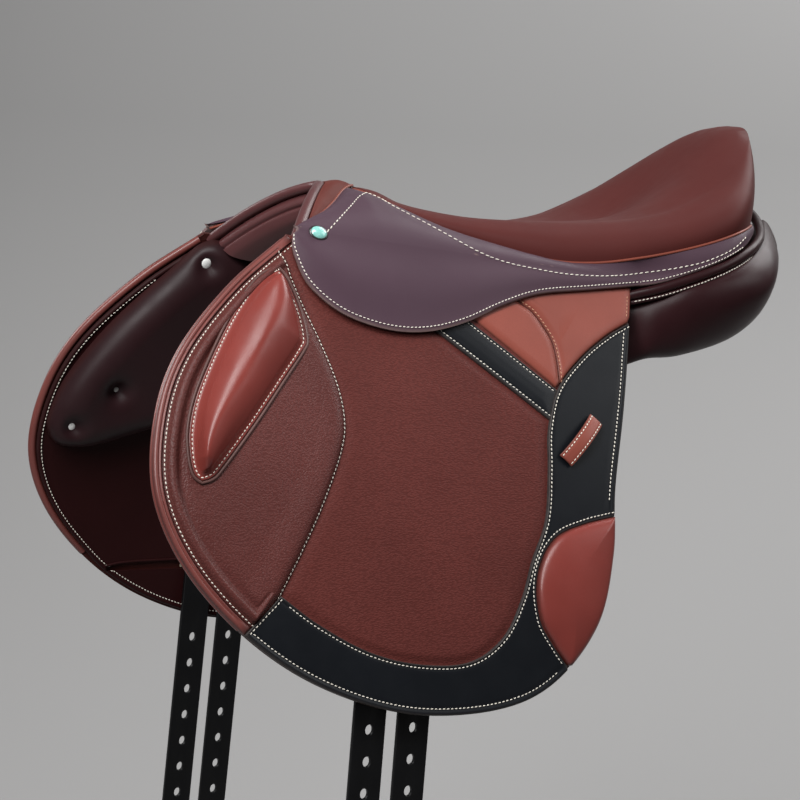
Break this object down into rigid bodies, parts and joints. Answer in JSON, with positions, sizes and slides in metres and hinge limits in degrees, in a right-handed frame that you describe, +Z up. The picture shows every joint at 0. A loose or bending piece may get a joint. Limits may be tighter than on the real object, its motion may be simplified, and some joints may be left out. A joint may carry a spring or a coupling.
{
  "type": "eventing saddle",
  "caption": "English cross-country saddle: padded seat and panels on a laminated tree, long forward flaps with knee blocks, lifting skirts, stirrup bars and punched billets.",
  "frame": {"origin": "on the centre plane, 110 mm below the top of the pommel, above the middle of the horse's back", "axes": "-X towards the pommel and the horse's head, +X towards the cantle, -Y to the near (left) side, +Z up"},
  "size_m": [0.5842, 0.3966, 0.7153],
  "materials": {
    "seat": "smooth calfskin, soft sheen",
    "pommel": "smooth leather",
    "piping": "smooth cord of leather",
    "facing": "smooth rolled leather",
    "skirt": "smooth leather, soft sheen",
    "panel": "soft panel leather",
    "flap": "pebble-grained leather",
    "roll": "smooth padded leather",
    "chestnut": "smooth chestnut leather",
    "black": "smooth black calfskin",
    "lining": "plain lining leather",
    "pad": "soft tufted leather",
    "foam": "latex foam",
    "web": "linen webbing",
    "wood": "laminated beech",
    "steel": "forged and polished",
    "stud": "teal enamel"
  },
  "bodies": {
    "seat_and_tree": {"seat_cover": "seat", "seat_foam": "foam", "seat_webs": "web", "seat_welt": "piping", "tree_rails": "wood", "tree_head": "wood", "gullet_plate": "steel", "pommel_cover": "pommel", "pommel_piping": "piping", "facing_binding": "facing", "pommel_facing": "facing", "skirt_band_near": "skirt", "skirt_stud_near": "stud", "panel_near": "panel", "rear_gusset_near": "panel", "stirrup_bar_near": "steel", "skirt_band_off": "skirt", "skirt_stud_off": "stud", "panel_off": "panel", "rear_gusset_off": "panel", "stirrup_bar_off": "steel"},
    "flap_near": {"flap_near": "flap", "front_roll_near": "roll", "knee_panel_near": "flap", "knee_block_near": "chestnut", "guard_near": "black", "half_moon_pad_near": "chestnut", "diagonal_strap_near": "black", "side_panel_near": "chestnut", "keeper_loop_near": "chestnut", "lining_near": "lining", "billet_web_near": "web", "point_pad_near": "pad", "dee_chape_near": "skirt"},
    "skirt_near": {"skirt_near": "skirt"},
    "billet_front_near": {"billet_front_near": "black"},
    "billet_rear_near": {"billet_rear_near": "black"},
    "bar_catch_near": {"bar_catch_near": "steel"},
    "dee_ring_near": {"dee_ring_near": "steel"},
    "flap_off": {"flap_off": "flap", "front_roll_off": "roll", "knee_panel_off": "flap", "knee_block_off": "chestnut", "guard_off": "black", "half_moon_pad_off": "chestnut", "diagonal_strap_off": "black", "side_panel_off": "chestnut", "keeper_loop_off": "chestnut", "lining_off": "lining", "billet_web_off": "web", "point_pad_off": "pad", "dee_chape_off": "skirt"},
    "skirt_off": {"skirt_off": "skirt"},
    "billet_front_off": {"billet_front_off": "black"},
    "billet_rear_off": {"billet_rear_off": "black"},
    "bar_catch_off": {"bar_catch_off": "steel"},
    "dee_ring_off": {"dee_ring_off": "steel"}
  },
  "joints": [
    {"name": "flap_lift_near", "type": "hinge", "parent": "seat_and_tree", "child": "flap_near", "pos_m": [-0.05193, -0.10375, 0.05921], "axis": [-0.9921, 0.0931, 0.0837], "range_deg": [0, 45]},
    {"name": "skirt_lift_near", "type": "hinge", "parent": "flap_near", "child": "skirt_near", "pos_m": [-0.05193, -0.10375, 0.05921], "axis": [-0.9921, 0.0931, 0.0837], "range_deg": [0, 60]},
    {"name": "billet_front_swing_near", "type": "hinge", "parent": "flap_near", "child": "billet_front_near", "pos_m": [-0.1478, -0.17275, -0.22132], "axis": [0.9986, -0.0523, 0], "range_deg": [0, 50]},
    {"name": "billet_rear_swing_near", "type": "hinge", "parent": "flap_near", "child": "billet_rear_near", "pos_m": [-0.11784, -0.17432, -0.22132], "axis": [0.9986, -0.0523, 0], "range_deg": [0, 50]},
    {"name": "catch_turn_near", "type": "hinge", "parent": "seat_and_tree", "child": "bar_catch_near", "pos_m": [-0.03411, -0.10476, 0.04418], "axis": [0, -0.9032, 0.4292], "range_deg": [0, 70]},
    {"name": "dee_swing_near", "type": "hinge", "parent": "flap_near", "child": "dee_ring_near", "pos_m": [-0.16777, -0.09907, 0.0448], "axis": [-0.9986, 0.0523, 0], "range_deg": [0, 12]},
    {"name": "flap_lift_off", "type": "hinge", "parent": "seat_and_tree", "child": "flap_off", "pos_m": [-0.05193, 0.10375, 0.05921], "axis": [0.9921, 0.0931, -0.0837], "range_deg": [0, 45]},
    {"name": "skirt_lift_off", "type": "hinge", "parent": "flap_off", "child": "skirt_off", "pos_m": [-0.05193, 0.10375, 0.05921], "axis": [0.9921, 0.0931, -0.0837], "range_deg": [0, 60]},
    {"name": "billet_front_swing_off", "type": "hinge", "parent": "flap_off", "child": "billet_front_off", "pos_m": [-0.1478, 0.17275, -0.22132], "axis": [-0.9986, -0.0523, 0], "range_deg": [0, 50]},
    {"name": "billet_rear_swing_off", "type": "hinge", "parent": "flap_off", "child": "billet_rear_off", "pos_m": [-0.11784, 0.17432, -0.22132], "axis": [-0.9986, -0.0523, 0], "range_deg": [0, 50]},
    {"name": "catch_turn_off", "type": "hinge", "parent": "seat_and_tree", "child": "bar_catch_off", "pos_m": [-0.03411, 0.10476, 0.04418], "axis": [0, -0.9032, -0.4292], "range_deg": [0, 70]},
    {"name": "dee_swing_off", "type": "hinge", "parent": "flap_off", "child": "dee_ring_off", "pos_m": [-0.16777, 0.09907, 0.0448], "axis": [0.9986, 0.0523, 0], "range_deg": [0, 12]}
  ]
}
